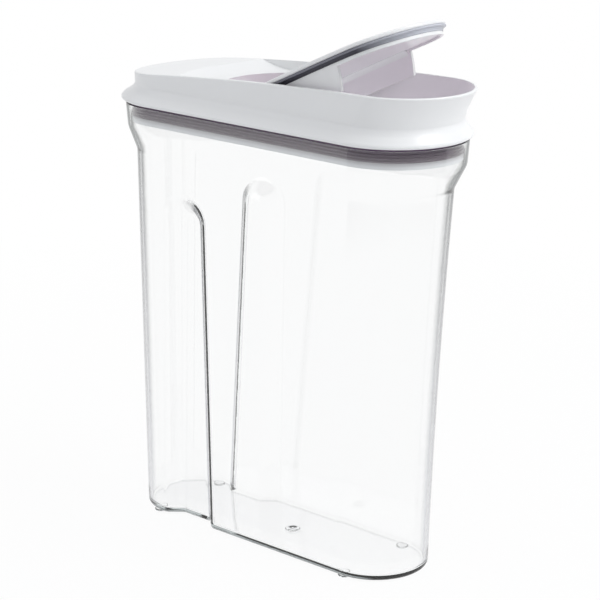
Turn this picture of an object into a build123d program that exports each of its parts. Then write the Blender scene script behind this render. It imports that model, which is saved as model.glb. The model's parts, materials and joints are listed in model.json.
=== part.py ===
from build123d import *
import os
from math import cos, radians, sin

# A tall, narrow cereal container: a clear jar, a white push-on lid with a pour lip at one end,
# and a flip cover that rocks on two pivots inside the lid. Millimetres. +X is the pour end,
# -Y the side nearest the viewer, and Z = 0 the table under the four feet.
# Every outline across the container is a slot with two round ends, given by its half-width
# and by the x of its back and front ends.

# ---- Jar ----
jar_height = 277.0              # table to the top of the rim
jar_wall = 2.2
floor_thickness = 2.8
foot_height = 1.5
foot_radius = 4.0
foot_y = 28.5
foot_x_back = -94.7
foot_x_front = 68.8
base_half_width = 33.4
base_back = -121.3
base_front = 102.8
base_edge_radius = 2.8
front_hollow = 1.7              # how far the front edge bows in, half way up
shoulder_drop = 31.0            # rim top down to where the body starts
shoulder_half_width = 38.9
shoulder_back = -122.7
shoulder_front = 117.2
band_drop = 16.0                # rim top down to the lower edge of the rim band
band_half_width = 43.7
band_back = -128.6
band_front = 125.3
rim_half_width = 44.7
rim_back = -129.9
rim_front = 126.7
neck_wall = 2.0                 # thickness of the band at its lower edge
gate_mark_radius = 5.0
gate_mark_height = 0.6

# ---- Finger grooves, one in each long side of the jar ----
groove_x = -64.55
groove_floor_width = 24.7
groove_slope_width = 9.5        # width of each sloping side of the groove
groove_depth = 7.9              # wall to the groove floor, at the base
groove_crest_depth = 8.25       # the same at the crest
groove_crest = 222.0
groove_lean = 0.05              # how far its back side leans forward, for each mm up
groove_arch_rise = 11.0         # height of the sloping arch at the crest
groove_corner = 6.5             # corner radius of the groove floor's top
groove_corner_growth = 9.5      # what the corner gains out to the wall
groove_floor_radius = 5.0       # rounding where the groove's floor meets its sides
groove_edge_radius = 3.0        # rounding where its sides meet the wall

# ---- Lid ----
seat_gap = 1.5                  # rim to flange, filled by the gasket's lip
flange_overhang = 2.2           # flange beyond the jar's rim, at the sides and front
flange_back_overhang = 2.8
collar_inset = 4.5              # collar wall inside the jar's rim, at the sides
collar_back_inset = 6.9
collar_front_inset = 2.8
lip_flare = 7.8                 # how far the pour lip leans out beyond the collar's waist
lid_wall = 2.2
deck_thickness = 2.0
top_rise = 27.74                # lid top above the jar's rim, at x = 0
top_slope = 0.056
top_bow = 0.00021
scoop_x = -9.3                  # centre of the thumb scoop and of the mouth's round rear end
scoop_radius = 62.0
scoop_lip_rise = 19.2
scoop_sag = 1.2                 # how hollow the scoop's slope is
well_angle = 36.0               # how far the well wall runs round the hinge
well_thickness = 1.6
lid_edge_radius = 0.8           # rounding of the lid's top edge, outside

# ---- Plug ring and lid gasket ----
fin_gap = 0.4                   # gasket fins to the jar's bore
fin_reach = 0.8
fin_thickness = 0.9
fin_count = 4
gasket_web = 0.9
seat_inset = 0.6                # the gasket's lip inside the rim's outer edge
plug_wall = 1.8
plug_depth = 11.4
plug_lip = 4.1
plug_rise = 5.6                 # how far the plug ring goes up into the lid
plug_fit = 0.1
stop_x = 34.3
stop_radius = 2.2
stop_reach = 6.0

# ---- Flip cover, described as it lies closed, then turned to its open place ----
open_angle = 22.9
hinge_x = 16.2
hinge_rise = 5.9                # hinge above the jar's rim
cover_gap = 0.8                 # crown to the lid's walls, at the sides
cover_back_gap = 2.0            # crown's rear end to the scoop's lip
cover_reach = 3.8               # crown's front end beyond the collar's inner waist
cover_sink = 0.3                # crown below the lid's top line
crown_thickness = 2.6
crown_edge_radius = 1.1
seal_thickness = 3.6
seal_width = 7.2
seal_taper = 3.2                # seal's widest lip to the cover's cheeks
seal_core_reach = 1.2           # the seal's groove beyond the cheeks
seal_lip_reach = 0.6            # its lower lip beyond the cheeks
rim_thickness = 2.2
plate_thickness = 1.6
plate_recess = 1.4
cheek_thickness = 2.0
cheek_depth = 14.7              # below the base rim
cheek_front = 61.0              # front edge of the cheeks, from the hinge
cheek_back = -24.0
cheek_lean = 2.6                # how far the front edge draws back towards its foot
lug_radius = 4.6
boss_radius = 4.6
boss_gap = 0.6                  # cheek to the boss on the lid's wall
pin_radius = 2.0
pin_fit = 0.05
pin_grip = 2.6                  # how far a pin goes into its boss
pin_head_radius = 3.2
pin_head = 1.2
pin_head_gap = 0.3

beyond = 200.0                  # past every face of the container

os.makedirs("parts", exist_ok=True)


def slot(half_width, back, front):
    """Draws a slot outline from its half-width and the x of its two round ends."""
    with Locations(((back + front) / 2, 0)):
        SlotOverall(front - back, 2 * half_width)


def prism(half_width, back, front, bottom, top):
    """An upright prism of slot outline between two heights."""
    with BuildPart() as block:
        with BuildSketch(Plane.XY.offset(bottom)):
            slot(half_width, back, front)
        extrude(amount=top - bottom)
    return block.part


# ---- Jar ----
shoulder_height = jar_height - shoulder_drop
band_height = jar_height - band_drop
middle_height = (foot_height + shoulder_height) / 2
middle_half_width = (base_half_width + shoulder_half_width) / 2
middle_back = (base_back + shoulder_back) / 2
middle_front = (base_front + shoulder_front) / 2 - front_hollow
bore_half_width = band_half_width - neck_wall
bore_back = band_back + neck_wall
bore_front = band_front - neck_wall
side_slope = (shoulder_half_width - base_half_width) / shoulder_height
groove_half_width = base_half_width - groove_depth
groove_tilt = side_slope - (groove_crest_depth - groove_depth) / groove_crest


def jar_body(inset):
    """The jar's tapered body below the shoulder, drawn in by a wall."""
    with BuildPart() as body:
        with BuildSketch(Plane.XY.offset(foot_height)):
            slot(base_half_width - inset, base_back + inset, base_front - inset)
        with BuildSketch(Plane.XY.offset(middle_height)):
            slot(middle_half_width - inset, middle_back + inset, middle_front - inset)
        with BuildSketch(Plane.XY.offset(shoulder_height)):
            slot(shoulder_half_width - inset, shoulder_back + inset, shoulder_front - inset)
        loft()
    return body.part


def groove(growth):
    """The near finger groove as a solid, grown by the wall for the inside of the jar."""
    floor_plane = Plane(
        origin=(groove_x, growth - groove_half_width, 0),
        x_dir=(1, 0, 0),
        z_dir=(0, -1, -groove_tilt),
    )
    with BuildPart() as cutter:
        for step in (0, 2):
            width = groove_floor_width + 2 * growth + 2 * step * groove_slope_width
            height = groove_crest - groove_arch_rise + growth + step * groove_arch_rise
            corner = groove_corner + growth + step * groove_corner_growth
            low = -groove_crest / 2
            with BuildSketch(floor_plane.offset(step * groove_depth)) as outline:
                with BuildLine():
                    Polyline(
                        (groove_lean * low - width / 2, low),
                        (width / 2, low),
                        (width / 2, height),
                        (groove_lean * height - width / 2, height),
                        close=True,
                    )
                make_face()
                fillet(outline.vertices().group_by(Axis.Y)[-1], radius=corner)
        loft(ruled=True)
        floor_face = cutter.faces().sort_by(Axis.Y)[-1]
        fillet(floor_face.edges(), radius=groove_floor_radius + growth)
    return cutter.part


def groove_edges(part, wall):
    """The edges where the finger grooves meet the jar's side, drawn in by a wall."""
    found = []
    for edge in part.edges():
        place = edge.bounding_box().center()
        side_y = base_half_width + side_slope * place.Z - wall
        near_groove = abs(place.X - groove_x) < groove_floor_width
        if near_groove and place.Z < groove_crest + wall and abs(abs(place.Y) - side_y) < 1.2:
            found.append(edge)
    return found


with BuildPart() as jar_hollow:
    add(jar_body(jar_wall))
    split(bisect_by=Plane.XY.offset(foot_height + floor_thickness), keep=Keep.TOP)
    with BuildSketch(Plane.XY.offset(shoulder_height)):
        slot(shoulder_half_width - jar_wall, shoulder_back + jar_wall, shoulder_front - jar_wall)
    with BuildSketch(Plane.XY.offset(band_height)):
        slot(bore_half_width, bore_back, bore_front)
    loft(ruled=True)
    add(prism(bore_half_width, bore_back, bore_front, band_height, jar_height + jar_wall))
    add(groove(jar_wall), mode=Mode.SUBTRACT)
    add(mirror(groove(jar_wall), about=Plane.XZ), mode=Mode.SUBTRACT)
    fillet(groove_edges(jar_hollow, jar_wall), radius=groove_edge_radius - jar_wall)

with BuildPart() as jar:
    add(jar_body(0))
    with BuildSketch(Plane.XY.offset(shoulder_height)):
        slot(shoulder_half_width, shoulder_back, shoulder_front)
    with BuildSketch(Plane.XY.offset(band_height)):
        slot(band_half_width, band_back, band_front)
    loft(ruled=True)
    with BuildSketch(Plane.XY.offset(band_height)):
        slot(band_half_width, band_back, band_front)
    with BuildSketch(Plane.XY.offset(jar_height)):
        slot(rim_half_width, rim_back, rim_front)
    loft(ruled=True)
    add(groove(0), mode=Mode.SUBTRACT)
    add(mirror(groove(0), about=Plane.XZ), mode=Mode.SUBTRACT)
    fillet(groove_edges(jar, 0), radius=groove_edge_radius)
    fillet(jar.faces().sort_by(Axis.Z)[0].edges(), radius=base_edge_radius)
    with BuildSketch(Plane.XY):
        with Locations((foot_x_back, 0), (foot_x_front, 0)):
            with GridLocations(0, 2 * foot_y, 1, 2):
                Circle(foot_radius)
    extrude(amount=foot_height + base_edge_radius)
    add(jar_hollow.part, mode=Mode.SUBTRACT)
    with BuildSketch(Plane.XY.offset(foot_height + floor_thickness)):
        Circle(gate_mark_radius)
    extrude(amount=gate_mark_height)

jar.part.label = "jar"
export_step(jar.part, "parts/jar.step")

# ---- Outlines that the lid's pieces share ----
lid_base = jar_height
hinge_height = lid_base + hinge_rise
rim = (rim_half_width, rim_back, rim_front)
flange = (rim_half_width + flange_overhang, rim_back - flange_back_overhang, rim_front + flange_overhang)
collar = (rim_half_width - collar_inset, rim_back + collar_back_inset, rim_front - collar_front_inset)
bore = (bore_half_width, bore_back, bore_front)
mouth_half_width = collar[0] - lid_wall
cover_half_width = mouth_half_width - cover_gap
cover_back = scoop_x - mouth_half_width + cover_back_gap
cover_front = collar[2] - lid_wall + cover_reach
cheek_outside = cover_half_width - seal_taper


def inset(outline, amount):
    """A slot outline's half-width, back and front, drawn in all round."""
    half_width, back, front = outline
    return (half_width - amount, back + amount, front - amount)


fin_outline = inset(bore, fin_gap)
web_outline = inset(fin_outline, fin_reach)
plug_outline = inset(web_outline, gasket_web)
plug_bore = inset(plug_outline, plug_wall)
inside_collar = inset(collar, lid_wall)


# ---- Lid shell ----
# Height above the jar's rim, share of the flange's overhang, share of the pour lip's flare.
flange_profile = (
    (seat_gap, 0.86, 0.0),
    (seat_gap + 1.4, 1.0, 0.0),
    (4.8, 0.84, 0.0),
    (7.0, 0.46, 0.0),
    (9.8, 0.11, 0.0),
    (13.0, 0.0, 0.03),
)
lip_profile = (
    (13.0, 0.0, 0.03),
    (20.0, 0.0, 0.36),
    (27.0, 0.0, 0.85),
    (36.0, 0.0, 1.50),
)


def top_height(x):
    """Height of the lid's gently bowed top above the table."""
    return lid_base + top_rise + top_slope * x - top_bow * x ** 2


def under_top(drop):
    """Everything below the lid's top surface lowered by a given drop."""
    with BuildPart() as region:
        with BuildSketch(Plane.XZ):
            with BuildLine():
                back = (-beyond, top_height(-beyond) - drop)
                front = (beyond, top_height(beyond) - drop)
                ThreePointArc(back, (0, top_height(0) - drop), front)
                Polyline(front, (beyond, 0), (-beyond, 0), back)
            make_face()
        extrude(amount=beyond, both=True)
    return region.part


def lid_form(wall):
    """The collar's form, with its flange and pour lip, or the room inside it for a given wall."""
    with BuildPart() as form:
        for profile in (flange_profile, lip_profile):
            for rise, flange_share, lip_share in profile:
                if wall > 0:
                    flange_share = 0
                with BuildSketch(Plane.XY.offset(lid_base + rise)):
                    half_width, back, front = (
                        c + flange_share * (f - c) for c, f in zip(inset(collar, wall), flange)
                    )
                    slot(half_width, back, front + lip_share * lip_flare)
            loft()
    return form.part


def dish(drop):
    """Everything above the thumb scoop's round slope, lowered by a given drop."""
    edge_height = top_height(scoop_x - scoop_radius) - drop
    lip_height = lid_base + scoop_lip_rise - drop
    with BuildPart() as region:
        with BuildSketch(Plane((scoop_x, 0, 0), x_dir=(1, 0, 0), z_dir=(0, -1, 0))):
            with BuildLine():
                lip = (mouth_half_width, lip_height)
                edge = (scoop_radius, edge_height)
                outside = (2 * edge[0] - lip[0], 2 * edge[1] - lip[1] + 8 * scoop_sag)
                ThreePointArc(lip, edge, outside)
                Polyline(outside, (0, outside[1]), (0, lip_height), lip)
            make_face()
        revolve(axis=Axis((scoop_x, 0, 0), (0, 0, 1)))
    return region.part


def well(growth):
    """The room that the cover's round rear end sweeps as it dips, grown by a given amount."""
    with BuildPart() as room:
        with BuildSketch(Plane.XY.offset(top_height(cover_back) - cover_sink)):
            with Locations((cover_back + cover_half_width, 0)):
                Circle(cover_half_width + growth)
                Rectangle(2 * beyond, 2 * beyond, align=(Align.MIN, Align.CENTER), mode=Mode.SUBTRACT)
        revolve(axis=Axis((hinge_x, 0, hinge_height), (0, -1, 0)), revolution_arc=well_angle)
    return room.part


def top_edges(part):
    """The edges that lie in the lid's top surface."""
    found = []
    for edge in part.edges():
        place = edge.position_at(0.4)
        if abs(place.Z - top_height(place.X)) < lid_edge_radius / 4:
            found.append(edge)
    return found


with BuildPart() as mouth:
    add(prism(mouth_half_width, scoop_x - mouth_half_width, beyond, lid_base, lid_base + beyond))
    with BuildSketch(Plane.XY.offset(lid_base)):
        with Locations((scoop_x, 0)):
            Rectangle(beyond, beyond, align=(Align.MIN, Align.CENTER))
    extrude(amount=beyond)

with BuildPart() as above_deck:
    with BuildSketch(Plane.XY.offset(lid_base)):
        Rectangle(2 * beyond, beyond)
    extrude(amount=beyond)
    add(under_top(deck_thickness), mode=Mode.SUBTRACT)
    add(dish(deck_thickness))
    add(mouth.part, mode=Mode.SUBTRACT)

with BuildPart() as lid_room:
    add(lid_form(lid_wall))
    add(above_deck.part, mode=Mode.SUBTRACT)

with BuildPart() as plug_rebate:
    add(prism(*inset(plug_outline, -plug_fit), lid_base, lid_base + plug_rise))

with BuildPart() as plug_ring_room:
    add(plug_rebate.part)
    add(prism(*inset(plug_bore, plug_fit), lid_base, lid_base + plug_rise), mode=Mode.SUBTRACT)

with BuildPart() as well_wall:
    add(well(cover_gap + well_thickness))
    add(well(cover_gap), mode=Mode.SUBTRACT)

with BuildPart() as scoop:
    add(dish(0))
    add(prism(*inside_collar, lid_base, lid_base + beyond), mode=Mode.INTERSECT)

with BuildPart() as lid_shell:
    add(lid_form(0))
    add(under_top(0), mode=Mode.INTERSECT)
    fillet(top_edges(lid_shell), radius=lid_edge_radius)
    add(lid_room.part, mode=Mode.SUBTRACT)
    add(plug_rebate.part, mode=Mode.SUBTRACT)
    add(well_wall.part)
    add(well(cover_gap), mode=Mode.SUBTRACT)
    add(scoop.part, mode=Mode.SUBTRACT)
    for side in (-1, 1):
        boss_plane = Plane((hinge_x, side * (cheek_outside + boss_gap), hinge_height),
                           x_dir=(1, 0, 0), z_dir=(0, side, 0))
        with BuildSketch(boss_plane):
            Circle(boss_radius)
        extrude(amount=mouth_half_width + lid_wall / 2 - cheek_outside - boss_gap)
        with BuildSketch(boss_plane):
            Circle(pin_radius)
        extrude(amount=pin_grip, mode=Mode.SUBTRACT)
    add(plug_ring_room.part, mode=Mode.SUBTRACT)

lid_shell.part.label = "lid_shell"
export_step(lid_shell.part, "parts/lid_shell.step")

# ---- Plug ring: goes down the jar's neck and carries the gasket ----
with BuildPart() as plug_ring:
    add(prism(*plug_outline, lid_base - plug_depth, lid_base + plug_rise))
    add(prism(*web_outline, lid_base - plug_depth, lid_base - plug_depth + plug_lip))
    add(prism(*plug_bore, lid_base - plug_depth, lid_base + plug_rise), mode=Mode.SUBTRACT)
    for side in (-1, 1):
        stop_y = side * (plug_bore[0] + plug_wall / 2)
        with BuildSketch(Plane((stop_x, stop_y, lid_base + plug_rise - stop_radius),
                               x_dir=(1, 0, 0), z_dir=(0, -side, 0))):
            Circle(stop_radius)
        extrude(amount=stop_reach)

plug_ring.part.label = "plug_ring"
export_step(plug_ring.part, "parts/plug_ring.step")

# ---- Lid gasket: a web with fins that wipe the jar's bore, under a lip that seats on the rim ----
gasket_height = plug_depth - plug_lip
with BuildPart() as lid_gasket:
    add(prism(*web_outline, lid_base - gasket_height, lid_base))
    for fin in range(fin_count):
        fin_pitch = (gasket_height - 2 * fin_thickness) / (fin_count - 1)
        fin_bottom = lid_base - gasket_height + fin_thickness / 2 + fin * fin_pitch
        add(prism(*fin_outline, fin_bottom, fin_bottom + fin_thickness))
    add(prism(*inset(rim, seat_inset), lid_base, lid_base + seat_gap))
    add(prism(*plug_outline, lid_base - gasket_height, lid_base + seat_gap), mode=Mode.SUBTRACT)

lid_gasket.part.label = "lid_gasket"
export_step(lid_gasket.part, "parts/lid_gasket.step")

# ---- Flip cover ----
# Its planes stand at the hinge, turned by the open angle, so that what is drawn on them is
# the closed cover seen from the hinge.
tilt = radians(open_angle)
cover_x = (cos(tilt), 0, sin(tilt))
cover_up = (-sin(tilt), 0, cos(tilt))
hinge = (hinge_x, 0, hinge_height)
cover_plane = Plane(hinge, x_dir=cover_x, z_dir=cover_up)
cover_side = Plane(hinge, x_dir=cover_x, z_dir=(0, -1, 0))
cover_outline = (cover_half_width, cover_back - hinge_x, cover_front - hinge_x)
seal_top = crown_thickness
seal_bottom = seal_top + seal_thickness
seal_inside = cover_half_width - seal_width
rim_bottom = seal_bottom + rim_thickness
rim_middle = seal_bottom + rim_thickness / 2
plate_bottom = rim_bottom - plate_recess
plate_top = plate_bottom - plate_thickness
cheek_bottom = rim_bottom + cheek_depth
cheek_inside = cheek_outside - cheek_thickness


def crown_line(u, depth):
    """Height above the hinge of the closed cover's crown, or of a level below it."""
    return top_height(hinge_x + u) - cover_sink - hinge_height - depth


def layer(half_width, top, bottom):
    """A slab of the cover between two levels below its crown, out to a given half-width."""
    with BuildPart() as slab:
        with BuildSketch(cover_plane.offset(-beyond)):
            slot(*inset(cover_outline, cover_half_width - half_width))
        extrude(amount=2 * beyond)
        with BuildSketch(cover_side):
            with BuildLine():
                upper = [(u, crown_line(u, top)) for u in (-beyond, 0, beyond)]
                lower = [(u, crown_line(u, bottom)) for u in (-beyond, 0, beyond)]
                ThreePointArc(*upper)
                ThreePointArc(*lower)
                Line(upper[0], lower[0])
                Line(upper[2], lower[2])
            make_face()
        extrude(amount=beyond, both=True, mode=Mode.INTERSECT)
    return slab.part


with BuildPart() as cover_top:
    add(layer(cover_half_width, 0, crown_thickness))
    crown_face = cover_top.faces().sort_by(Axis((0, 0, 0), cover_up))[-1]
    fillet(crown_face.edges(), radius=crown_edge_radius)

cover_top.part.label = "cover_top"
export_step(cover_top.part, "parts/cover_top.step")

# The seal has an upper lip as wide as the crown and steps in below it.
tier = seal_thickness / 3
with BuildPart() as cover_gasket:
    add(layer(cover_half_width, seal_top, seal_top + tier))
    add(layer(cheek_outside + seal_core_reach, seal_top, seal_top + 2 * tier))
    add(layer(cheek_outside + seal_lip_reach, seal_top, seal_bottom))
    add(layer(seal_inside, seal_top, seal_bottom), mode=Mode.SUBTRACT)

cover_gasket.part.label = "cover_gasket"
export_step(cover_gasket.part, "parts/cover_gasket.step")

with BuildPart() as cover_base:
    add(layer(cheek_outside, seal_bottom, rim_bottom))
    add(layer(seal_inside, seal_top, rim_bottom))
    add(layer(seal_inside - rim_thickness, seal_top, plate_top), mode=Mode.SUBTRACT)
    add(layer(cheek_inside, plate_bottom, rim_bottom), mode=Mode.SUBTRACT)
    for side in (-1, 1):
        with BuildSketch(cover_side.offset(side * cheek_inside)):
            with BuildLine():
                top_back = (cheek_back, crown_line(cheek_back, rim_middle))
                top_front = (cheek_front, crown_line(cheek_front, rim_middle))
                low_back, low_middle, low_front = (
                    (u, crown_line(u, cheek_bottom)) for u in (cheek_back, 0, cheek_front - cheek_lean)
                )
                ThreePointArc(low_front, low_middle, low_back)
                Polyline(low_back, top_back, top_front)
                TangentArc(top_front, low_front, tangent=(0, -1))
            make_face()
            Circle(lug_radius)
            Circle(pin_radius + pin_fit, mode=Mode.SUBTRACT)
        extrude(amount=side * cheek_thickness)

cover_base.part.label = "cover_base"
export_step(cover_base.part, "parts/cover_base.step")

# ---- Pivot pins: headed studs from inside the cheeks into the lid's bosses ----
for name, side in (("near", -1), ("far", 1)):
    head_plane = Plane((hinge_x, side * (cheek_inside - pin_head_gap - pin_head), hinge_height),
                       x_dir=(1, 0, 0), z_dir=(0, side, 0))
    with BuildPart() as pivot_pin:
        with BuildSketch(head_plane):
            Circle(pin_head_radius)
        extrude(amount=pin_head)
        with BuildSketch(head_plane):
            Circle(pin_radius)
        extrude(amount=pin_head + pin_head_gap + cheek_thickness + boss_gap + pin_grip)
    pivot_pin.part.label = "pivot_pin_" + name
    export_step(pivot_pin.part, "parts/pivot_pin_" + name + ".step")

for piece in (jar, lid_shell, plug_ring, lid_gasket, cover_top, cover_gasket, cover_base):
    plastic = round(piece.part.volume / 1000, 1)
    print(piece.part.label, piece.part.is_valid, len(piece.part.solids()), plastic, "ml")
print("room in the jar", round(jar_hollow.part.volume / 1e6, 2), "litres")
stop_gap = crown_line(stop_x - hinge_x, cheek_bottom) + hinge_rise - plug_rise
print("closed cheek above its stop", round(stop_gap, 2), "mm")
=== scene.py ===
# %% [markdown]
# # A clear cereal container with a white flip-spout lid
#
# The container is a tall, narrow jar of clear plastic with a white lid pushed on. A flip cover
# rocks open inside the lid's pour mouth, as it stands in the reference picture. The CAD model
# already holds every piece in its place, in metres, so this script never moves anything. It
# gives each piece its finish, and builds finer meshes for the pieces that light travels
# through or that show small rounded lips.

# %% Load the frame
import json
import math

import bmesh
import bpy
from mathutils import Matrix, Vector


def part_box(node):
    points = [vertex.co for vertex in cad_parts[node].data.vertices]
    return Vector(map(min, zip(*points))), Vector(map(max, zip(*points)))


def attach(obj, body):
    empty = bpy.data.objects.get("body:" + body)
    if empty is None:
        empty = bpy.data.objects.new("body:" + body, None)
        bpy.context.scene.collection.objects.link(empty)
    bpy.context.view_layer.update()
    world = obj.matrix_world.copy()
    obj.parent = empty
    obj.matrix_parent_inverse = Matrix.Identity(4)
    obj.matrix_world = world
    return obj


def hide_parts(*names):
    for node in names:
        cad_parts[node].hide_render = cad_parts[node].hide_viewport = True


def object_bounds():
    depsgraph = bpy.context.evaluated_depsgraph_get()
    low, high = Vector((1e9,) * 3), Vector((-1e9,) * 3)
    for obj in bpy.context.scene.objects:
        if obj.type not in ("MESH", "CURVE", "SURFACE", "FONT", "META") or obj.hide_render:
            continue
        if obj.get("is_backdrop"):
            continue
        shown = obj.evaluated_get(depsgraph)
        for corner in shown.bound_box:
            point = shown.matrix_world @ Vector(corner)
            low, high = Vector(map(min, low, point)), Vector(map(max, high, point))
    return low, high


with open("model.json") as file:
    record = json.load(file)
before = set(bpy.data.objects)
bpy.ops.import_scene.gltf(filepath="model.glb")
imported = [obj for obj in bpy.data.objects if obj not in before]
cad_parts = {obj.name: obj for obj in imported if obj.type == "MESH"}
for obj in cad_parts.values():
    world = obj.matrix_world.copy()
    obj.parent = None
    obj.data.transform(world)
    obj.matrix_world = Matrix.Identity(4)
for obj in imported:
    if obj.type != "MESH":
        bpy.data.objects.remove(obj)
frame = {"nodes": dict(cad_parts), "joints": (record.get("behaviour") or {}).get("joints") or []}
nodes = frame["nodes"]
cad_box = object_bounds()
MM = 0.001

# %% [markdown]
# ## Writing materials as expressions
#
# A material is a graph of nodes. Writing each link by hand hides the idea, so a small class
# wraps an output socket and lets Python's own arithmetic add the Math nodes. All other nodes
# come from one method, which takes the node's type, its settings and its sockets' values.

# %% A wrapped socket and a material's graph
class Wire:
    """An output socket; arithmetic on it adds Math nodes."""

    def __init__(self, graph, socket):
        self.graph = graph
        self.socket = socket

    def __add__(self, other):
        return self.graph.maths("ADD", self, other)

    def __sub__(self, other):
        return self.graph.maths("SUBTRACT", self, other)

    def __rsub__(self, other):
        return self.graph.maths("SUBTRACT", other, self)

    def __mul__(self, other):
        return self.graph.maths("MULTIPLY", self, other)

    __radd__ = __add__
    __rmul__ = __mul__


class Graph:
    """The nodes of a material or of the world, made by one method."""

    def __init__(self, owner):
        owner.use_nodes = True
        self.owner = owner
        self.tree = owner.node_tree
        self.tree.nodes.clear()

    def node(self, kind, settings=None, out=0, **sockets):
        """Adds a node: its settings first, then its sockets, named with _ for a space."""
        made = self.tree.nodes.new("ShaderNode" + kind)
        for key, value in (settings or {}).items():
            if key == "stops":
                self.set_stops(made.color_ramp, value)
            else:
                setattr(made, key, value)
        for key, value in sockets.items():
            self.feed(self.find(made, key), value)
        return Wire(self, made.outputs[out]) if made.outputs else made

    @staticmethod
    def set_stops(ramp, stops):
        for place, colour in stops[2:]:
            ramp.elements.new(place)
        for element, (place, colour) in zip(ramp.elements, stops):
            element.position = place
            element.color = (*colour, 1.0)

    @staticmethod
    def find(made, key):
        """A socket by its name, or by its number after an n where several share a name."""
        usable = [s for s in made.inputs if s.enabled]
        if key[0] == "n" and key[1:].isdigit():
            return usable[int(key[1:])]
        return next(s for s in usable if s.name.lower() == key.replace("_", " ").lower())

    def feed(self, socket, value):
        if isinstance(value, Wire):
            self.tree.links.new(value.socket, socket)
        else:
            socket.default_value = value

    def maths(self, operation, first, second):
        return self.node("Math", {"operation": operation}, n0=first, n1=second)

    def clamp(self, value):
        """Keeps a value between 0 and 1."""
        return self.node("Clamp", n0=value)

    def part_of(self, vector, axis):
        """One of a vector's three parts."""
        return self.node("SeparateXYZ", out="xyz".index(axis), n0=vector)

    def mix(self, share, first, second):
        """Blends two colours."""
        return self.node("Mix", {"data_type": "RGBA"}, out=2, n0=share, n1=first, n2=second)

    def blend(self, share, first, second):
        """Blends two shaders."""
        return self.node("MixShader", n0=share, n1=first, n2=second)


def material(name):
    return Graph(bpy.data.materials.new(name))


def place_on(g):
    """Where a point of the surface lies, in metres from the container's origin."""
    return g.node("TexCoord", out=3)


def below(g, top, fade):
    """0 down to a height, then rising to 1 a fade further down."""
    return g.clamp((top - g.part_of(place_on(g), "z")) * (1 / fade))


def finish(g, surface, volume=None):
    """Ends a material with its output node and hands the material back."""
    end = g.node("OutputMaterial", Surface=surface)
    if volume is not None:
        g.feed(end.inputs["Volume"], volume)
    return g.owner

# %% [markdown]
# ## Clear plastic
#
# The jar's plastic is as clear as glass and bends light as styrene-acrylic does, with an index
# near 1.57. Two things make its edges show. Its colour is painted darker where the surface is
# seen at a grazing angle, a painted shade that is light at the base and deepest round the
# thicker neck. A faint grey is also soaked up inside, so long ways through the plastic, as at
# the rim and the base, look darker than one thin wall. Shadow rays and the soft light between
# surfaces pass straight through, because a clear jar throws hardly any shadow and lets the
# light of the floor up into the lid.

# %% Clear plastic
PLASTIC_IOR = 1.57
CLEAR_TINT, LOW_EDGE_PAINTED_SHADE, HIGH_EDGE_PAINTED_SHADE = (1, 1, 1, 1), (0.55, 0.55, 0.60, 1), (0.01, 0.015, 0.015, 1)
EDGE_START, EDGE_END = 0.58, 0.76
EDGE_PER_METRE, EDGE_BELOW = 4.1, 0.03
PASSING_TINT = (0.95, 0.96, 0.96, 1)
SOAK_TINT, SOAK_DENSITY = (0.69, 0.73, 0.735, 1), 30.0


def clear_plastic():
    g = material("clear plastic")
    grazing = g.node("LayerWeight", out=1, Blend=0.5)
    high = g.clamp(g.part_of(place_on(g), "z") * EDGE_PER_METRE - EDGE_BELOW)
    shade = g.node("ValToRGB", {"stops": [(0.0, (0, 0, 0)), (EDGE_START, (0, 0, 0)),
                                          (EDGE_END, (1, 1, 1))]}, Fac=grazing)
    # painted shade: the surface seen at a grazing angle is darkened, and darker still higher up
    # the jar
    edge = g.mix(shade, CLEAR_TINT, g.mix(high, LOW_EDGE_PAINTED_SHADE, HIGH_EDGE_PAINTED_SHADE))
    body = g.node("BsdfPrincipled", Base_Color=edge, Roughness=0.0, IOR=PLASTIC_IOR,
                  Transmission_Weight=1.0)
    shadow_or_soft = g.node("LightPath", out=1) + g.node("LightPath", out=2)
    through = g.node("BsdfTransparent", Color=PASSING_TINT)
    soak = g.node("VolumeAbsorption", Color=SOAK_TINT, Density=SOAK_DENSITY)
    return finish(g, g.blend(shadow_or_soft, body, through), soak)


CLEAR = clear_plastic()
print("made", CLEAR.name)

# %% [markdown]
# ## White plastic
#
# The lid and the cover are white plastic with a satin face straight from the mould. A very
# fine noise in the bump keeps the highlights from looking like glass. The Bevel node bends the
# shading normal across sharp edges, so that every rim catches a thin line of light as a real
# moulded edge does, without another face in the mesh. Inside the mouth, where white faces
# only see each other, the colour is painted a shade warmer and lighter, as painted light for
# the light they throw on each other: there the surface faces the lid's middle line, which a dot
# product of the normal and the way out from that line tells. The well behind the mouth lies
# deepest, so its wall gets painted shade, a darker tone by its height.

# %% White plastic
# The inside tone is painted light, the corners' white a painted highlight and the well's tone
# painted shade.
OUTSIDE, INSIDE_PAINTED_LIGHT, CORNERS_PAINTED_HIGHLIGHT = (0.86, 0.87, 0.87), (0.93, 0.87, 0.92), (0.97, 0.95, 0.97)
WELL_PAINTED_SHADE = (0.655, 0.585, 0.64, 1)
MIDDLE_BACK, MIDDLE_FRONT, MIDDLE_Z = -0.085, 0.082, 0.25
WELL_TOP, WELL_FRONT = 0.2968, -0.03
INWARD_STEEP, WELL_STEEP, DEPTH_STEEP = 100.0, 200.0, 1000.0
AHEAD_STEEP, AHEAD_START = 50.0, 0.6
MOULD_GRAIN, BUMP_STRENGTH, BUMP_DEPTH = 900.0, 0.02, 0.0002


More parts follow.
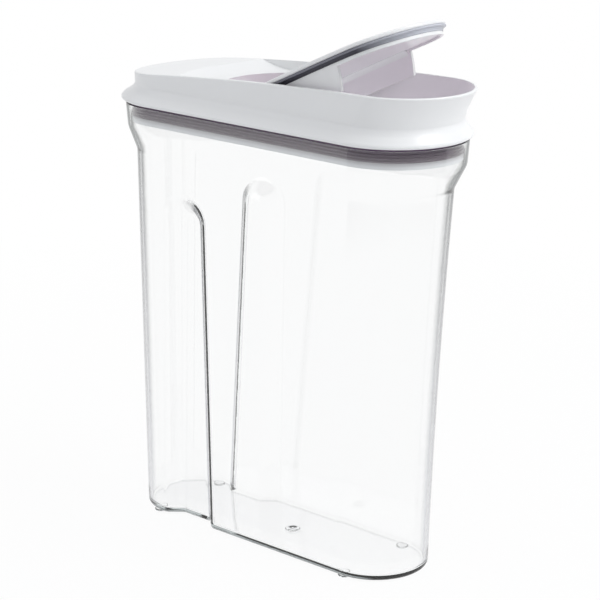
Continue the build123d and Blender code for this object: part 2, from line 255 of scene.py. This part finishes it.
def painted_light_and_shade_shares(g):
    """Shares of painted light where the lid's faces look inward or down inside the mouth, and of
    painted shade where the well is.
    """
    place = place_on(g)
    normal = g.node("TexCoord", out=1)
    lowest = (MIDDLE_BACK, 0.0, -1.0)
    highest = (MIDDLE_FRONT, 0.0, MIDDLE_Z)
    middle = g.node("VectorMath", {"operation": "MINIMUM"}, n1=highest,
                    n0=g.node("VectorMath", {"operation": "MAXIMUM"}, n0=place, n1=lowest))
    way_out = g.node("VectorMath", {"operation": "SUBTRACT"}, n0=place, n1=middle)
    outward = g.node("VectorMath", {"operation": "DOT_PRODUCT"}, out=1, n0=way_out, n1=normal)
    inward = g.clamp(outward * -INWARD_STEEP)
    ahead = g.clamp(g.part_of(place, "x") * AHEAD_STEEP + AHEAD_START)
    behind = g.clamp((WELL_FRONT - g.part_of(place, "x")) * WELL_STEEP)
    deep = g.clamp((WELL_TOP - g.part_of(place, "z")) * DEPTH_STEEP)
    return inward * ahead, inward * behind * deep


def white_plastic(name, colour, roughness, edge_radius, inward_painted_light=None):
    g = material(name)
    grain = g.node("TexNoise", Scale=MOULD_GRAIN, Detail=3.0)
    soft_edge = g.node("Bevel", {"samples": 6}, Radius=edge_radius * MM)
    bump = g.node("Bump", Strength=BUMP_STRENGTH, Distance=BUMP_DEPTH, Height=grain,
                  Normal=soft_edge)
    tone = (*colour, 1)
    if inward_painted_light:
        # painted light inside the mouth, then painted shade on the well's wall
        inner, well = painted_light_and_shade_shares(g)
        tone = g.mix(well, g.mix(inner, tone, (*inward_painted_light, 1)), WELL_PAINTED_SHADE)
    gloss = roughness + 0.04 * grain
    return finish(g, g.node("BsdfPrincipled", Base_Color=tone, Roughness=gloss, Normal=bump))


WHITE = white_plastic("white plastic", OUTSIDE, roughness=0.3, edge_radius=0.7)
SHELL = white_plastic("white plastic of the shell", OUTSIDE, roughness=0.3, edge_radius=0.7,
                      inward_painted_light=INSIDE_PAINTED_LIGHT)
# painted highlight: the fillets' white is lighter than the plate's
BRIGHT_PAINTED_HIGHLIGHT = white_plastic("white plastic in the corners", CORNERS_PAINTED_HIGHLIGHT, roughness=0.25, edge_radius=0.2)
print("made", WHITE.name, ",", SHELL.name, "and", BRIGHT_PAINTED_HIGHLIGHT.name)

# %% [markdown]
# ## Silicone
#
# Both seals are soft silicone: plum grey on the lid and slate on the cover. Silicone is dark
# but smooth, so its rounded lips still show long highlights. A noise varies the gloss a
# little, as fingers and washing do. The lid's gasket is painted paler from its lip down, as
# painted light for the light the clear neck scatters over its fins, so its colour follows the
# height.

# %% Silicone
SILICONE_GRAIN, SILICONE_ROUGHNESS, SILICONE_GLOSS = 350.0, 0.3, 0.3
PLUM_TOP, PLUM_FADE = 0.277, 0.0075
PLUM_LIP, PLUM_FINS_PAINTED_LIGHT = (0.10, 0.055, 0.105, 1), (0.23, 0.195, 0.22, 1)


def silicone(name, tone):
    """A soft seal's finish; tone adds its own nodes and gives the colour."""
    g = material(name)
    grain = g.node("TexNoise", Scale=SILICONE_GRAIN, Detail=3.0)
    gloss = SILICONE_ROUGHNESS + 0.1 * grain
    return finish(g, g.node("BsdfPrincipled", Base_Color=tone(g), Roughness=gloss,
                            Specular_IOR_Level=SILICONE_GLOSS))


def plum(g):
    # painted light: the fins get paler below the lip
    return g.mix(below(g, PLUM_TOP, PLUM_FADE), PLUM_LIP, PLUM_FINS_PAINTED_LIGHT)


PLUM = silicone("plum grey silicone", plum)
print("made", PLUM.name)

# %% [markdown]
# ## The plug ring
#
# Below the gasket a narrow band of the white plug ring shows through the neck. It is in the
# fins' shade at its top and gets lighter towards its foot.

# %% Plug ring
RING_TOP, RING_FADE = 0.2705, 0.0036
RING_SHADED, RING_LIT = (0.36, 0.33, 0.35, 1), (0.86, 0.86, 0.87, 1)


def shaded_ring():
    g = material("white plastic of the plug ring")
    grain = g.node("TexNoise", Scale=MOULD_GRAIN, Detail=3.0)
    tone = g.mix(below(g, RING_TOP, RING_FADE), RING_SHADED, RING_LIT)
    bump = g.node("Bump", Strength=BUMP_STRENGTH, Distance=BUMP_DEPTH, Height=grain)
    return finish(g, g.node("BsdfPrincipled", Base_Color=tone, Roughness=0.35, Normal=bump))


RING = shaded_ring()
print("made", RING.name)

# %% [markdown]
# ## Meshes from rings
#
# Seen from above, every piece of this container is a slot: two straight sides and two round
# ends. In a modelling window you would draw that outline once and extrude it. Here a piece is
# a stack of rings instead, each with the same number of points, so that neighbouring rings
# join into clean four-sided faces and every rounding is one more ring.

# %% Outlines, rings and pieces
def drawn_in(outline, amount):
    """A slot's half-width, back and front, drawn in all round by an amount."""
    half, back, front = outline
    return half - amount, back + amount, front - amount


def between(first, second, share):
    """Two outlines mixed by a share, from 0 for the first to 1 for the second."""
    return tuple(a + (b - a) * share for a, b in zip(first, second))


def steps(start, end, count):
    """Evenly spaced values from start up to, but not including, end."""
    return [start + (end - start) * i / count for i in range(count)]


def both_sides(half_ring):
    """Mirrors the far half of a ring, from front tip to back tip, to the near side."""
    return half_ring + [(x, -y) for x, y in half_ring[-2:0:-1]]


def slot_ring(outline, arc_steps=36, side_steps=24):
    """The points of a slot outline, in millimetres."""
    half, back, front = outline
    turns = [math.radians(90 * t / arc_steps) for t in range(arc_steps + 1)]
    nose = [(front - half + half * math.cos(t), half * math.sin(t)) for t in turns]
    side = [(x, half) for x in steps(front - half, back + half, side_steps)[1:]]
    tail = [(back + half - half * math.sin(t), half * math.cos(t)) for t in turns]
    return both_sides(nose + side + tail)


def add_ring(bm, points, z):
    return [bm.verts.new((x * MM, y * MM, z * MM)) for x, y in points]


def skin(bm, rings, closed=False):
    """Joins neighbouring rings with four-sided faces, and the last with the first if closed."""
    for lower, upper in zip(rings, rings[1:] + rings[:1] if closed else rings[1:]):
        for i in range(len(lower)):
            j = (i + 1) % len(lower)
            bm.faces.new((lower[i], lower[j], upper[j], upper[i]))


def piece(bm, name, body, slot, finish_with, *instead_of, flat=()):
    """Turns a mesh in hand into a piece that rides a body and stands for CAD nodes."""
    bmesh.ops.recalc_face_normals(bm, faces=bm.faces)
    for face in bm.faces:
        face.smooth = True
    for face in flat:
        face.smooth = False
    mesh = bpy.data.meshes.new(name)
    bm.to_mesh(mesh)
    bm.free()
    mesh.materials.append(finish_with)
    made = bpy.data.objects.new(name, mesh)
    bpy.context.collection.objects.link(made)
    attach(made, body)
    if instead_of:
        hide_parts(*instead_of)
    print(name, "has", len(mesh.polygons), "faces")
    return made

# %% [markdown]
# ## The jar
#
# The real jar is injection moulded in one shot of clear plastic, so it has draft: it is a
# little narrower at the foot than at the shoulder. Above the shoulder it steps out to a
# straight band, which the lid's gasket seals against. Two finger grooves run up the long
# sides. One way to make it is to extrude a slot and cut the grooves with booleans. Light that
# passes through a clear wall shows every uneven face, though, so rings of evenly placed
# points are better here: the groove is a formula that pushes the side in.

# %% The jar's sizes, in millimetres
jar_low, jar_high = (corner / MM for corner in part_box("jar"))
WALL, FOOT, FLOOR = 2.2, 1.5, 4.3
BASE = (33.4, -121.3, 102.8)
SHOULDER = (38.9, -122.7, 117.2)
BAND = (43.7, -128.6, 125.3)
RIM = (jar_high.y, jar_low.x, jar_high.x)
FRONT_HOLLOW = 1.7
SHOULDER_Z, BAND_Z = jar_high.z - 31, jar_high.z - 16
CORNER_SHIFTS = (-1.6, -0.8, 0, 0.8, 1.6)


def level(z):
    """The jar's outline at a height: half-width, back and front."""
    if z <= SHOULDER_Z:
        share = (z - FOOT) / (SHOULDER_Z - FOOT)
        half, back, front = between(BASE, SHOULDER, share)
        return half, back, front - 4 * FRONT_HOLLOW * share * (1 - share)
    if z <= BAND_Z:
        return between(SHOULDER, BAND, (z - SHOULDER_Z) / (BAND_Z - SHOULDER_Z))
    return between(BAND, RIM, (z - BAND_Z) / (jar_high.z - BAND_Z))


def soft_level(z, wall):
    """The same with its corners rounded, and inside the wall for the jar's bore."""
    top = jar_high.z if wall == 0 else BAND_Z
    around = [level(min(max(z + shift, FOOT), top)) for shift in CORNER_SHIFTS]
    return drawn_in([sum(values) / len(values) for values in zip(*around)], wall)


print("jar height", round(jar_high.z, 1), "mm, half way up", [round(v, 1) for v in level(125)])

# %% [markdown]
# ## The finger grooves
#
# A groove is a flat floor between two slopes, under an arched crest, and its back side leans
# forward a little. The number `reach` says how far a point has come up the slope: 0 on the
# floor's edge and 1 at the jar's side. The crest's two corners are arcs that widen up the
# slope, so there the reach comes from the arc through the point, a quadratic equation. A smooth
# maximum rounds the foot of the slope and a smooth minimum its upper edge, as a mould maker's
# cutter does.

# %% The groove's formula
GROOVE_X, GROOVE_FLOOR, GROOVE_SLOPE, GROOVE_DEPTH = -64.55, 12.35, 9.5, 7.9
GROOVE_TOP, ARCH_RISE, GROOVE_LEAN = 211.0, 11.0, 0.05
CORNER, CORNER_GROWTH = 6.5, 9.5
FLOOR_AT_BASE, FLOOR_TILT = BASE[0] - GROOVE_DEPTH, 0.0208
INSIDE_GROWTH, SLOPE_FOOT_SOFT, SLOPE_EDGE_SOFT = 0.3, 0.2, 0.9


def soft_min(a, b, width):
    """The smaller of two numbers, rounded where they are within a width of each other."""
    near = max(width - abs(a - b), 0) / width
    return min(a, b) - near * near * width / 4


def groove_reach(x, z, growth):
    """How far up the groove's slope a point lies: 0 on the floor, 1 at the jar's side."""
    across = max(x - GROOVE_X, GROOVE_X + GROOVE_LEAN * z - x) - growth
    rise = z - growth
    past_x = across - GROOVE_FLOOR + CORNER
    past_z = rise - GROOVE_TOP + CORNER
    wide = GROOVE_SLOPE - CORNER_GROWTH
    tall = ARCH_RISE - CORNER_GROWTH
    a = wide ** 2 + tall ** 2 - CORNER_GROWTH ** 2
    b = -2 * (past_x * wide + past_z * tall + CORNER * CORNER_GROWTH)
    c = past_x ** 2 + past_z ** 2 - CORNER ** 2
    round_reach = (-b - math.sqrt(max(b * b - 4 * a * c, 0))) / (2 * a)
    if past_x > wide * round_reach and past_z > tall * round_reach:
        return round_reach
    return max((across - GROOVE_FLOOR) / GROOVE_SLOPE, (rise - GROOVE_TOP) / ARCH_RISE)


def groove_side(x, z, wall):
    """How far out the groove lets the side come at a point."""
    reach = -soft_min(-groove_reach(x, z, INSIDE_GROWTH * wall), 0, SLOPE_FOOT_SOFT)
    return FLOOR_AT_BASE + FLOOR_TILT * z - wall + GROOVE_DEPTH * reach


groove_edge = GROOVE_X + GROOVE_FLOOR + GROOVE_SLOPE
print("reach at the groove's middle and side:",
      [round(groove_reach(x, 100, 0), 2) for x in (GROOVE_X, groove_edge)])

# %% [markdown]
# ## Rings up the jar
#
# A ring's points lie close together across the groove and further apart elsewhere, and every
# ring has the same number of them. The rings go up the outside, over the rim and down the
# inside as one path, so the wall is closed. A rounded edge is a few rings along a quarter
# circle, each drawn in a little less than the one before.

# %% The jar's rings
DENSE_FRONT, DENSE_BACK = GROOVE_X + 26, GROOVE_X - 29
BASE_ROUND, RIM_ROUND, INNER_ROUND = 2.8, 0.3, 2.0
PUSH_BEYOND = 20
ARCH_FROM, ARCH_TO = 198, 232


def jar_ring(z, wall=0.0, pull=0.0):
    """One ring round the jar, inside by a wall and pulled in where an edge is rounded."""
    half, back, front = drawn_in(soft_level(z, wall), pull)
    nose, tail = front - half, back + half
    tail_start = math.acos((DENSE_BACK - tail) / half)
    points = [(nose + half * math.cos(t), half * math.sin(t)) for t in steps(0, math.pi / 2, 36)]
    points += [(x, half) for x in steps(nose, DENSE_FRONT, 16)]
    for x in steps(DENSE_FRONT, DENSE_BACK, 56):
        side = half if x > tail else math.sqrt(half ** 2 - (x - tail) ** 2)
        points.append((x, side))
    tail_turns = steps(tail_start, math.pi, 30)
    points += [(tail + half * math.cos(t), half * math.sin(t)) for t in tail_turns]
    points.append((back, 0.0))
    pushed = []
    for x, y in points:
        if y > PUSH_BEYOND:
            y = soft_min(y, groove_side(x, z, wall) - pull, SLOPE_EDGE_SOFT)
        pushed.append((x, y))
    return both_sides(pushed)


def rounding(radius, count=6):
    """Pairs of rise and pull round a quarter circle, from its start to its end."""
    turns = [math.pi / 2 * i / count for i in range(count + 1)]
    return [(radius * (1 - math.cos(t)), radius * (1 - math.sin(t))) for t in turns]


def side_heights(start, end):
    """Heights up a side: close together over the groove's arch and at the shoulder."""
    heights = steps(start, ARCH_FROM, 24) + steps(ARCH_FROM, ARCH_TO, 24)
    heights += steps(ARCH_TO, SHOULDER_Z - 2, 3)
    for corner in (SHOULDER_Z, BAND_Z):
        heights += steps(corner - 2, corner + 2, 6)
        heights += steps(corner + 2, BAND_Z - 2 if corner == SHOULDER_Z else end, 3)
    return heights


jar_mesh = bmesh.new()
rim_start = jar_high.z - RIM_ROUND
outside = side_heights(FOOT + BASE_ROUND, rim_start)[1:]
inside = side_heights(FLOOR + INNER_ROUND, rim_start)[1:]
path = [(FOOT + rise, 0.0, pull) for rise, pull in rounding(BASE_ROUND)]
path += [(z, 0.0, 0.0) for z in outside]
path += [(jar_high.z - rise, 0.0, pull) for rise, pull in reversed(rounding(RIM_ROUND))]
path += [(jar_high.z - rise, WALL, -pull) for rise, pull in rounding(RIM_ROUND)]
path += [(z, WALL, 0.0) for z in reversed(inside)]
path += [(FLOOR + rise, WALL, pull) for rise, pull in reversed(rounding(INNER_ROUND))]
jar_rings = [add_ring(jar_mesh, jar_ring(z, wall, pull), z) for z, wall, pull in path]
skin(jar_mesh, jar_rings)
print("rings", len(jar_rings), "points in each", len(jar_rings[0]))

# %% [markdown]
# ## Feet and gate mark
#
# Four small round feet keep the flat bottom off the table, and a round gate mark inside shows
# where the plastic entered the mould. Both could be separate discs, but a clear disc pushed
# into clear plastic shows a seam that the real one hasn't. So their circles are holes in the
# flat face that closes the jar, and each hole goes on as a few rings.

# %% Closing the jar's bottom
FEET_X, FEET_Y = (-94.7, 68.8), (-28.5, 28.5)
FOOT_PROFILE = [(4.0, FOOT), (4.0, 0.7), (3.8, 0.3), (3.4, 0.1), (2.8, 0.0)]
MARK_PROFILE = [(5.0, FLOOR), (4.8, FLOOR + 0.5), (4.5, FLOOR + 0.6), (1.6, FLOOR + 0.6),
                (1.4, FLOOR + 0.2), (0.9, FLOOR + 0.2), (0.8, FLOOR + 0.6)]
flat_faces = []


def circle(x, y, radius, count=28):
    turns = steps(0, 2 * math.pi, count)
    return [(x + radius * math.cos(t), y + radius * math.sin(t)) for t in turns]


def edges_of(ring):
    """The edges round a ring, made where they are missing."""
    pairs = list(zip(ring, ring[1:] + ring[:1]))
    return [jar_mesh.edges.get(pair) or jar_mesh.edges.new(pair) for pair in pairs]


def close_with(outer, studs):
    """Fills a flat face inside a ring, and raises a round stud on each circle in it."""
    borders = edges_of(outer)
    for x, y, profile in studs:
        rings = [add_ring(jar_mesh, circle(x, y, radius), z) for radius, z in profile]
        borders += edges_of(rings[0])
        skin(jar_mesh, rings)
        flat_faces.append(jar_mesh.faces.new(rings[-1]))
    filled = bmesh.ops.triangle_fill(jar_mesh, use_beauty=True, edges=borders)
    flat_faces.extend(face for face in filled["geom"] if isinstance(face, bmesh.types.BMFace))


close_with(jar_rings[0], [(x, y, FOOT_PROFILE) for x in FEET_X for y in FEET_Y])
close_with(jar_rings[-1], [(0.0, 0.0, MARK_PROFILE)])
open_edges = sum(not edge.is_manifold for edge in jar_mesh.edges)
print("open edges left in the jar:", open_edges)
piece(jar_mesh, "clear_jar", "jar", "clear_plastic", CLEAR, "jar", flat=flat_faces)

# %% [markdown]
# ## The lid's gasket
#
# The gasket is a silicone band stretched round the plug ring, with fins on its outside and a
# lip above them. Its cross-section goes all the way round unchanged. A curve with a bevel
# profile could make that, but its corners would be hard to hold to the lid's sizes, so one
# closed profile is swept along the slot as rings, drawn in by each point's inset.

# %% Sweeping a profile round a slot
def sweep(outline, profile, place):
    """A ring for each (inset, depth) of a closed profile, set in place by a function."""
    bm = bmesh.new()
    rings = []
    for inset, depth in profile:
        points = [place(x, y, depth) for x, y in slot_ring(drawn_in(outline, inset))]
        rings.append([bm.verts.new([c * MM for c in point]) for point in points])
    skin(bm, rings, closed=True)
    return bm


def upright(x, y, z):
    return x, y, z


print("points round each swept ring:", len(slot_ring(BAND)))

# %% [markdown]
# ## Fins and lip
#
# Four fins wipe the jar's neck, and the lip seats on the rim, where it shows as a dark line.
# Each fin is five points of the profile, so that its rounded edge gives one of the thin lines
# of light that show through the clear neck.

# %% The lid's gasket
gasket_low, gasket_high = (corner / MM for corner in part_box("lid_gasket"))
NECK_WALL, FIN_GAP, GASKET_BACK, LIP_ROUND = 2.0, 0.4, 1.7, 0.4
FIN_COUNT, FIN_REACH, FIN_HALF, FIN_MARGIN = 4, 0.8, 0.5, 0.9
FIN_TIPS = drawn_in(BAND, NECK_WALL + FIN_GAP)
seat = gasket_high.y - FIN_TIPS[0]
fin_pitch = (jar_high.z - gasket_low.z - 2 * FIN_MARGIN) / (FIN_COUNT - 1)
gasket_profile = [(GASKET_BACK, gasket_low.z), (FIN_REACH, gasket_low.z)]
for fin in range(FIN_COUNT):
    z = gasket_low.z + FIN_MARGIN + fin * fin_pitch
    gasket_profile += [(FIN_REACH, z - FIN_HALF), (FIN_REACH / 3, z - 0.7 * FIN_HALF), (0.0, z),
                       (FIN_REACH / 3, z + 0.7 * FIN_HALF), (FIN_REACH, z + FIN_HALF)]
gasket_profile += [(FIN_REACH, jar_high.z), (LIP_ROUND - seat, jar_high.z),
                   (-seat, jar_high.z + LIP_ROUND), (-seat, gasket_high.z - LIP_ROUND),
                   (LIP_ROUND - seat, gasket_high.z), (GASKET_BACK, gasket_high.z)]
print("gasket from", round(gasket_low.z, 1), "to", round(gasket_high.z, 1), "mm")
gasket = sweep(FIN_TIPS, gasket_profile, upright)
piece(gasket, "silicone_gasket", "lid", "grey_seal", PLUM, "lid_gasket")

# %% [markdown]
# ## The cover's seal
#
# The seal is held between the cover's crown and its base. It follows the crown's gentle bow,
# so each point's height comes from the crown's line before the whole cover is turned to its
# open place about the hinge. The same turn, written as nodes, tells the finish how far below
# the crown a point lies.

# %% The cover's line and its open place
hinge = next(j for j in frame["joints"] if j["name"] == "cover_flip")
hinge_x, _, hinge_z = (value / MM for value in hinge["pos_m"])
OPEN_ANGLE = math.radians(hinge["range_deg"][1])
COVER = (37.2, -61.5, 109.3)
TOP_RISE, TOP_SLOPE, TOP_BOW, COVER_SINK = 27.74, 0.056, 0.00021, 0.3


def crown_line(u, depth):
    """Height above the hinge of the closed cover's crown, or of a level below it."""
    x = hinge_x + u
    top = jar_high.z + TOP_RISE + TOP_SLOPE * x - TOP_BOW * x * x
    return top - COVER_SINK - hinge_z - depth


def opened(u, y, depth):
    """A point of the closed cover, seen from the hinge, as it stands with the cover open."""
    h = crown_line(u, depth)
    return (hinge_x + u * math.cos(OPEN_ANGLE) - h * math.sin(OPEN_ANGLE), y,
            hinge_z + u * math.sin(OPEN_ANGLE) + h * math.cos(OPEN_ANGLE))


print("the cover stands open by", round(math.degrees(OPEN_ANGLE), 1), "degrees")

# %% [markdown]
# ## The seal's finish and shape
#
# The seal is dark slate where it faces down, and its lip, which catches the light, gets a paler
# band of painted light. Its tip stands highest, where most light falls on it, and is painted
# paler still. In the profile the upper lip reaches out the furthest, up to the crown's edge,
# and a narrower lip below it closes on the mouth.

# %% The cover's seal
SEAL_DARK, SEAL_LIP_PAINTED_LIGHT, SEAL_TIP_PAINTED_LIGHT = (0.045, 0.045, 0.06), (0.22, 0.22, 0.26), (0.60, 0.62, 0.68, 1)
SEAL_DEPTH = 0.0065
TIP_X, TIP_STEEP = 0.0945, 33.0


def slate(g):
    """Dark silicone with a painted paler lip, told by the depth below the crown, and a painted
    pale tip.
    """
    place = place_on(g)
    ahead, above = g.part_of(place, "x") - hinge_x * MM, g.part_of(place, "z") - hinge_z * MM
    x = ahead * math.cos(OPEN_ANGLE) + above * math.sin(OPEN_ANGLE) + hinge_x * MM
    height = above * math.cos(OPEN_ANGLE) - ahead * math.sin(OPEN_ANGLE)
    crown = (jar_high.z + TOP_RISE - COVER_SINK - hinge_z) * MM + TOP_SLOPE * x
    depth = crown - x * x * (TOP_BOW / MM) - height
    # painted light: a paler band on the lip and a pale tip
    stops = [(0.0, SEAL_DARK), (0.43, SEAL_DARK), (0.47, SEAL_LIP_PAINTED_LIGHT), (0.58, SEAL_LIP_PAINTED_LIGHT),
             (0.64, SEAL_DARK), (1.0, SEAL_DARK)]
    bands = g.node("ValToRGB", {"stops": stops}, Fac=depth * (1 / SEAL_DEPTH))
    return g.mix(g.clamp((x - TIP_X) * TIP_STEEP), bands, SEAL_TIP_PAINTED_LIGHT)


SLATE = silicone("slate silicone", slate)
seal_profile = [(7.1, 2.65), (0.7, 2.65), (0.15, 2.85), (0.0, 3.2), (0.15, 3.6), (0.7, 3.8),
                (1.6, 3.85), (2.0, 4.1), (2.05, 4.7), (2.2, 4.95), (2.5, 5.05), (2.6, 5.3),
                (2.6, 5.8), (2.9, 6.15), (7.1, 6.15)]
seal = sweep(COVER, seal_profile, opened)
piece(seal, "silicone_seal", "cover", "grey_seal", SLATE, "cover_gasket")

# %% [markdown]
# ## The fillets under the cover
#
# The cover's plate runs into its two cheeks in a round hollow corner, which makes them stiff
# and shows as a soft light line. A fillet in the CAD model would have to end in the plate's
# curved rim, so two slim strips with a quarter-round face are laid into the corners instead.
# They wear a lighter, glossier white than the plate, a painted highlight along that line.

# %% The cover's fillets
PLATE_BOTTOM, CHEEK_INSIDE, FILLET = 7.0, 32.0, 3.5
FILLET_BACK, FILLET_FRONT, SUNK = -16.0, 59.0, 0.5
quarter = [math.radians(9 * i) for i in range(11)]
hollow = [(CHEEK_INSIDE - FILLET * (1 - math.cos(t)), PLATE_BOTTOM + FILLET * (1 - math.sin(t)))
          for t in quarter]
fillet_profile = [(CHEEK_INSIDE + SUNK, hollow[0][1]), *hollow,
                  (hollow[-1][0], PLATE_BOTTOM - SUNK), (CHEEK_INSIDE + SUNK, PLATE_BOTTOM - SUNK)]
fillet_places = steps(FILLET_BACK, FILLET_FRONT, 24) + [FILLET_FRONT]
fillets = bmesh.new()
caps = []
for side in (-1, 1):
    strip = [[fillets.verts.new([c * MM for c in opened(u, side * y, depth)])
              for y, depth in fillet_profile] for u in fillet_places]
    skin(fillets, strip)
    caps += [fillets.faces.new(strip[0]), fillets.faces.new(strip[-1])]
    for start, end in zip(strip, strip[1:]):
        for corner in (1, len(hollow)):
            fillets.edges.get((start[corner], end[corner])).smooth = False
fillet_foot = crown_line(0, PLATE_BOTTOM + FILLET)
print("over the hinge the fillets reach down to", round(fillet_foot, 1), "mm above it")
piece(fillets, "cover_fillets", "cover", "white_plastic", BRIGHT_PAINTED_HIGHLIGHT, flat=caps)

# %% [markdown]
# ## Dressing the other pieces
#
# The lid's shell, the plug ring and the cover's two halves are shown with their CAD meshes,
# which already have their rounded edges. A material is all that they need.

# %% Dressing
DRESS = {"lid_shell": SHELL, "plug_ring": RING, "cover_top": WHITE, "cover_base": SHELL,
         "pivot_pin_near": WHITE, "pivot_pin_far": WHITE}
for name, finish_with in DRESS.items():
    nodes[name].data.materials.clear()
    nodes[name].data.materials.append(finish_with)
    print(name, "wears", finish_with.name, "on", len(nodes[name].data.polygons), "faces")

# %% [markdown]
# ## Floor and background
#
# The picture was taken on a white sweep. A floor and a world that are plain white would throw
# too much light on the object, so the Light Path node tells who is looking: camera, mirror and
# see-through rays find pure white, while the light that falls on the object stays soft and
# grey. Near the object a little of the floor's own shading stays in, which keeps the object's
# shadow, and it fades out with distance so that the floor has no visible edge.

# %% Floor and world
STAGE_HALF, STAGE_DROP = 3, -0.2
SHADOW_SHARE, SHADOW_REACH = 0.08, 0.8
ROOM_TINT, ROOM_LIGHT = (0.95, 0.96, 1, 1), 0.56
PURE_WHITE = (1, 1, 1, 1)


def distance_out(g):
    """How far a point lies from the container's origin, in metres."""
    return g.node("VectorMath", {"operation": "LENGTH"}, out=1, n0=place_on(g))


def seen_directly(g):
    """1 for camera, glossy and transmission rays, and 0 for the light that falls on things."""
    return g.node("LightPath", out=0) + g.node("LightPath", out=3) + g.node("LightPath", out=6)


def white_floor():
    g = material("white floor")
    lit = g.node("BsdfDiffuse", Color=(0.95, 0.95, 0.95, 1))
    glow = g.node("Emission", Color=PURE_WHITE, Strength=1.0)
    near = g.maths("MAXIMUM", 1 - distance_out(g) * (1 / SHADOW_REACH), 0.0)
    return finish(g, g.blend(seen_directly(g) * (1 - near * SHADOW_SHARE), lit, glow))


signs = ((-1, -1), (1, -1), (1, 1), (-1, 1))
floor_corners = [(STAGE_HALF * x, STAGE_HALF * y, 0) for x, y in signs]
floor_mesh = bpy.data.meshes.new("floor")
floor_mesh.from_pydata(floor_corners, [], [(0, 1, 2, 3)])
floor_mesh.materials.append(white_floor())
floor = bpy.data.objects.new("floor", floor_mesh)
floor.location.z = STAGE_DROP * MM
bpy.context.collection.objects.link(floor)
floor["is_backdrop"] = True

studio = bpy.data.worlds.new("studio")
bpy.context.scene.world = studio
g = Graph(studio)
room = g.node("Background", Color=ROOM_TINT, Strength=ROOM_LIGHT)
white = g.node("Background", Color=PURE_WHITE, Strength=1.0)
g.node("OutputWorld", Surface=g.blend(seen_directly(g), room, white))
print("room light", ROOM_LIGHT)

# %% [markdown]
# ## Soft lamps
#
# Three large area lamps stand in for softboxes. The strongest is to the right, by the pour
# end, so the lid's round pour end is its brightest part and the long side stays a soft grey,
# as in the picture.

# %% Lamps
LIT_POINT = Vector((0, 0, 0.2))
LAMPS = (("right", (1.2, 0.3, 1.5), (0.8, 0.8), 15),
         ("front", (-1.3, -1.3, 0.9), (1.2, 1.2), 3),
         ("overhead", (0.0, 0.2, 1.9), (1.6, 1.6), 3))


def softbox(name, place, size, watts):
    lamp = bpy.data.lights.new(name, "AREA")
    lamp.shape = "RECTANGLE"
    lamp.size, lamp.size_y = size
    lamp.energy = watts
    box = bpy.data.objects.new(name, lamp)
    box.location = place
    box.rotation_euler = (LIT_POINT - box.location).to_track_quat("-Z", "Y").to_euler()
    bpy.context.collection.objects.link(box)


for name, place, size, watts in LAMPS:
    softbox(name, place, size, watts)
    print("lamp", name, watts, "W")

# %% [markdown]
# ## A dark card
#
# Clear and shiny things need something dark to mirror as well, or their edges fade away on a
# white sweep. So a black card lies on the floor, from the near side round past the pour end,
# as it does in a product studio. Only mirror rays see it: it throws no shadow and is hidden
# from the lens. Its near edge fades in, so that no hard line is mirrored in the jar.

# %% Dark card
CARD_FADE, CARD_LIFT = 0.25, 0.5
CARD_BLACK = (0.01, 0.01, 0.01, 1)


def dark_card(name, near, far, start, end, count=24):
    """Part of a ring on the floor, between two radii and two angles from straight ahead."""
    turns = [math.radians(angle) for angle in steps(start, end, count)]
    corners = [(r * math.sin(t), -r * math.cos(t), 0) for r in (near, far) for t in turns]
    faces = [(i, i + 1, count + i + 1, count + i) for i in range(count - 1)]
    mesh = bpy.data.meshes.new(name)
    mesh.from_pydata(corners, [], faces)
    g = material(name)
    black = g.node("BsdfDiffuse", Color=CARD_BLACK)
    pale = g.node("Emission", Color=PURE_WHITE, Strength=1.0)
    faded_in = g.clamp((distance_out(g) - near) * (1 / CARD_FADE))
    mesh.materials.append(finish(g, g.blend(faded_in, pale, black)))
    card = bpy.data.objects.new(name, mesh)
    card.location.z = CARD_LIFT * MM
    card.visible_camera = card.visible_shadow = False
    card.visible_diffuse = card.visible_transmission = False
    bpy.context.collection.objects.link(card)
    card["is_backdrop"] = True
    print(name, "from", near, "to", far, "m")


dark_card("dark card", near=0.62, far=2.6, start=-32, end=130)

# %% [markdown]
# ## Camera
#
# The camera stands to the right of the near side and a little above the lid. Its angles and
# distance came from matching known sizes of the container with where they lie in the picture.

# %% Camera
AZIMUTH, ELEVATION, ROLL = (math.radians(angle) for angle in (42.43, 16.47, -0.06))
DISTANCE = 1.3928
AIM = Vector((0.0056, 0.0, 0.1603))
FOCAL_PIXELS, IMAGE_PIXELS, SENSOR = 2209.4, 600, 36.0
away = Vector((math.sin(AZIMUTH) * math.cos(ELEVATION), -math.cos(AZIMUTH) * math.cos(ELEVATION),
               math.sin(ELEVATION)))
lens = bpy.data.cameras.new("camera")
lens.sensor_width = SENSOR
lens.lens = SENSOR * FOCAL_PIXELS / IMAGE_PIXELS
camera = bpy.data.objects.new("camera", lens)
camera.location = AIM + away * DISTANCE
facing = (-away).to_track_quat("-Z", "Y").to_matrix() @ Matrix.Rotation(ROLL, 3, "Z")
camera.rotation_euler = facing.to_euler()
bpy.context.collection.objects.link(camera)
bpy.context.scene.camera = camera
bpy.context.scene.view_settings.view_transform = "Standard"
print("lens", round(lens.lens, 1), "mm, from", [round(v, 3) for v in camera.location])

# %% [markdown]
# ## Sizes
#
# The sizes of the dressed model's box and of the CAD model's box are both printed. The
# dressed model has to stay inside the CAD model's box.

# %% Sizes and finish
sizes = {"cad": [list(corner) for corner in cad_box],
         "visual": [list(corner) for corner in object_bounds()]}
for name, (low, high) in sizes.items():
    print(name, "box", [round((b - a) / MM, 1) for a, b in zip(low, high)], "mm")
